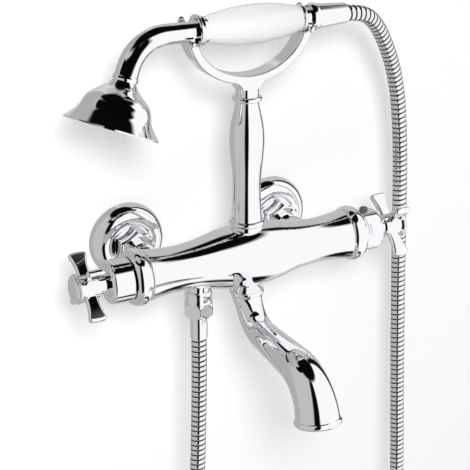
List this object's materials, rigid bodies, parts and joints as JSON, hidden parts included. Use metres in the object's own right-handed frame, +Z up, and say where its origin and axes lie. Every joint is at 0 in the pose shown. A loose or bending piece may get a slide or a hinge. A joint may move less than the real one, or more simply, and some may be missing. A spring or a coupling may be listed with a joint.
{
  "type": "wall mounted bath mixer",
  "caption": "Wall mounted bath mixer with cross handles, swivel spout and a cradle column holding a porcelain grip hand shower on a ribbed metal hose.",
  "frame": {"origin": "on the wall face, midway between the two inlet centres", "axes": "+X along the wall to the right as seen from the front, +Y into the wall, +Z up"},
  "size_m": [0.3598, 0.2548, 0.797],
  "materials": {
    "chrome": "polished",
    "hose_steel": "polished",
    "brass": "machined",
    "rubber": "matt",
    "white_plastic": "satin",
    "ceramic": "lapped",
    "steel": "bright",
    "copper": "drawn",
    "porcelain": "glossy",
    "dark_plastic": "satin"
  },
  "bodies": {
    "mixer": {"bead_ring_left": "chrome", "bead_ring_right": "chrome", "body_casting": "chrome", "cartridge_o_rings": "rubber", "ceramic_disc_fixed": "ceramic", "check_valves": "white_plastic", "cradle_column": "chrome", "cradle_fork": "chrome", "cradle_stud": "brass", "flow_cartridge_housing": "brass", "lower_hose_ferrule": "chrome", "lower_hose_nut": "chrome", "lower_hose_washer": "rubber", "shower_hose": "hose_steel", "shower_outlet_nipple": "chrome", "spool_return_spring": "steel", "spout_nipple": "brass", "thermostat_housing": "white_plastic", "union_nut_left": "chrome", "union_nut_right": "chrome", "union_washers": "rubber", "wall_flange_left": "chrome", "wall_flange_right": "chrome", "wall_union_left": "brass", "wall_union_right": "brass"},
    "flow_control": {"flow_sleeve": "chrome", "flow_cross_handle": "chrome", "flow_handle_screw": "steel", "flow_handle_cap": "chrome", "flow_spindle": "brass", "ceramic_disc_turning": "ceramic"},
    "temperature_control": {"temperature_sleeve": "chrome", "temperature_cross_handle": "chrome", "temperature_handle_screw": "steel", "temperature_handle_cap": "chrome", "temperature_spindle": "brass", "temperature_stop_ring": "white_plastic", "safety_button_spring": "steel"},
    "thermostat_slider": {"thermostat_spool": "white_plastic", "wax_element": "copper"},
    "button": {"safety_button": "dark_plastic"},
    "spout_arm": {"spout": "chrome", "spout_set_screw": "steel", "aerator_housing": "chrome", "aerator_insert": "white_plastic", "aerator_washer": "rubber"},
    "hand_shower": {"porcelain_grip": "porcelain", "grip_tube": "chrome", "front_collar": "chrome", "rear_collar": "chrome", "handset_neck": "chrome", "neck_ring": "chrome", "spray_bell": "chrome", "spray_plate": "chrome", "spray_gasket": "rubber", "cone_nut": "chrome", "upper_hose_washer": "rubber", "upper_hose_ferrule": "brass"}
  },
  "joints": [
    {"name": "flow_turn", "type": "hinge", "parent": "mixer", "child": "flow_control", "pos_m": [-0.15, -0.095, 0.006], "axis": [1, 0, 0], "range_deg": [-90, 90]},
    {"name": "temperature_turn", "type": "hinge", "parent": "mixer", "child": "temperature_control", "pos_m": [0.15, -0.095, 0.006], "axis": [1, 0, 0], "range_deg": [-170, 90]},
    {"name": "thermostat_slide", "type": "slide", "parent": "mixer", "child": "thermostat_slider", "axis": [1, 0, 0], "range_m": [-0.0008, 0.0005], "deforming": ["spool_return_spring"]},
    {"name": "safety_button_press", "type": "slide", "parent": "temperature_control", "child": "button", "axis": [0, 0, -1], "range_m": [0, 0.002], "stiffness_N_per_m": 600, "springref_m": -0.002, "deforming": ["safety_button_spring"]},
    {"name": "spout_swivel", "type": "hinge", "parent": "mixer", "child": "spout_arm", "pos_m": [0, -0.095, -0.03], "axis": [0, 0, 1], "range_deg": [-55, 55]},
    {"name": "handset_lift", "type": "slide", "parent": "mixer", "child": "hand_shower", "axis": [0, -0.6157, 0.788], "range_m": [0, 0.06], "deforming": ["shower_hose"]}
  ],
  "couplings": [
    {"joint": "thermostat_slide", "follows": "temperature_turn", "m_per_rad": 0.00023873}
  ]
}
